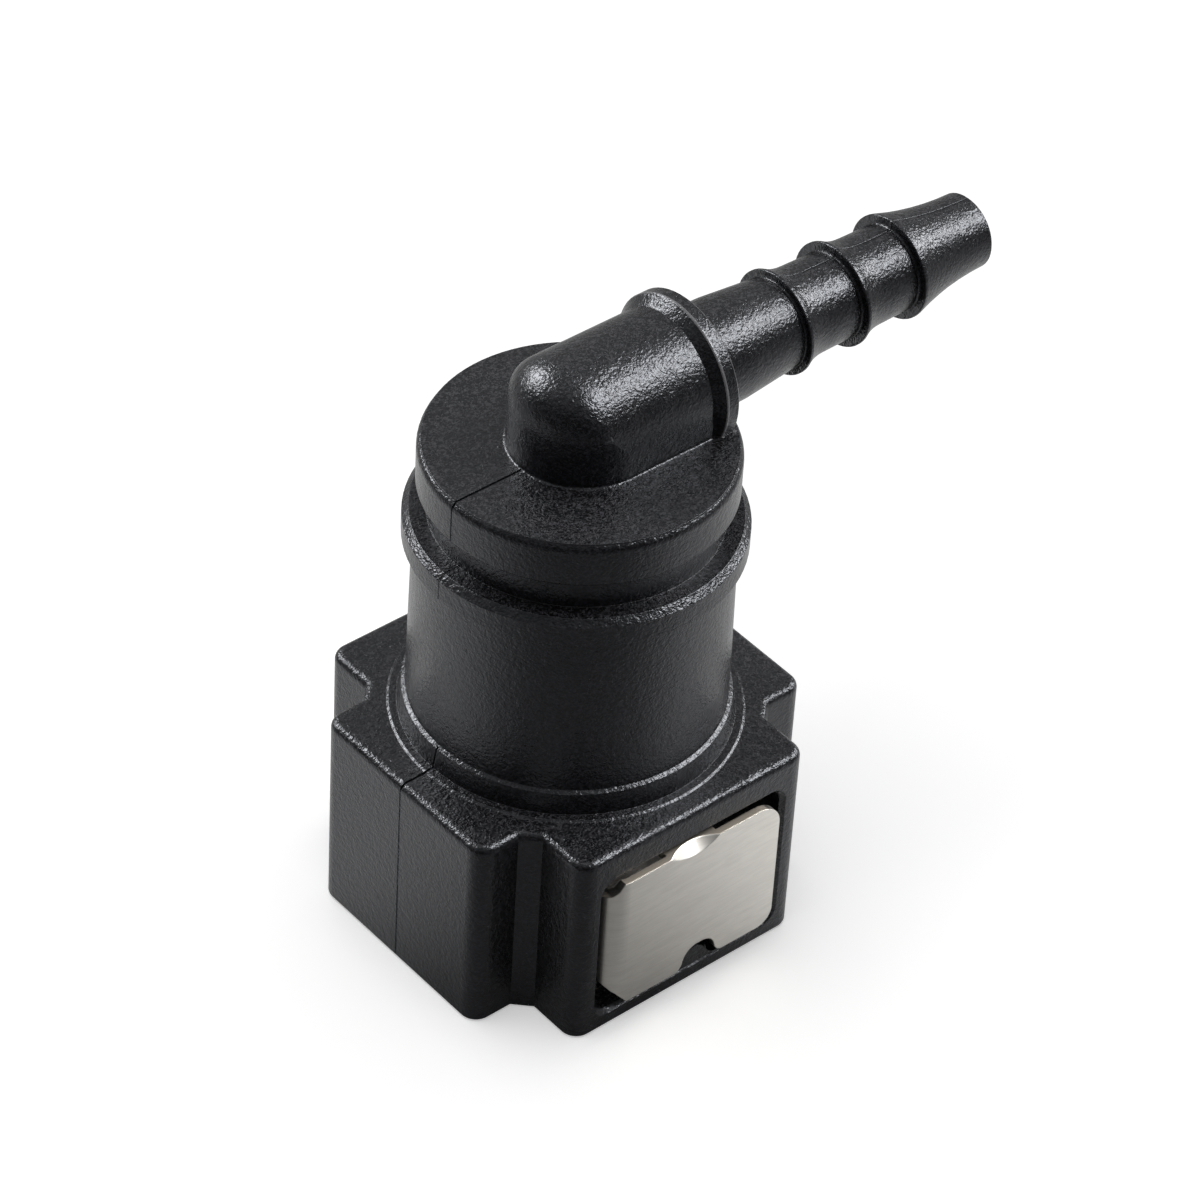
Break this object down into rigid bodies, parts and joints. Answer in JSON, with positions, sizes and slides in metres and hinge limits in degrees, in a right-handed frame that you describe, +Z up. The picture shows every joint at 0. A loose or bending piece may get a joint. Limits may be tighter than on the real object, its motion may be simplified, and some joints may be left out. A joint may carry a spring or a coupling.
{
  "type": "fuel line quick connector",
  "caption": "Elbow quick connector: a black moulded body with a hose barb, and a socket with steel release plates that grips a beaded fuel pipe.",
  "frame": {"origin": "on the pipe socket's axis, at the underside of the base", "axes": "+Z up along the pipe's axis towards the elbow, +X along the hose barb towards its tip, release plates in the -Y and +Y faces"},
  "size_m": [0.0446, 0.0262, 0.0429],
  "materials": {
    "black_nylon": "fine moulded grain",
    "stainless_sheet": "satin",
    "seal_rubber": "smooth",
    "seal_rubber_outer": "smooth",
    "natural_nylon": "smooth moulded"
  },
  "bodies": {
    "housing": {"body": "black_nylon", "inner_o_ring": "seal_rubber", "spacer_ring": "natural_nylon", "outer_o_ring": "seal_rubber_outer", "seal_bush": "natural_nylon"},
    "front_release": {"front_release_plate": "stainless_sheet"},
    "rear_release": {"rear_release_plate": "stainless_sheet"}
  },
  "joints": [
    {"name": "front_press", "type": "slide", "parent": "housing", "child": "front_release", "axis": [0, 1, 0], "range_m": [0, 0.0016], "stiffness_N_per_m": 2500},
    {"name": "rear_press", "type": "slide", "parent": "housing", "child": "rear_release", "axis": [0, -1, 0], "range_m": [0, 0.0016], "stiffness_N_per_m": 2500}
  ]
}
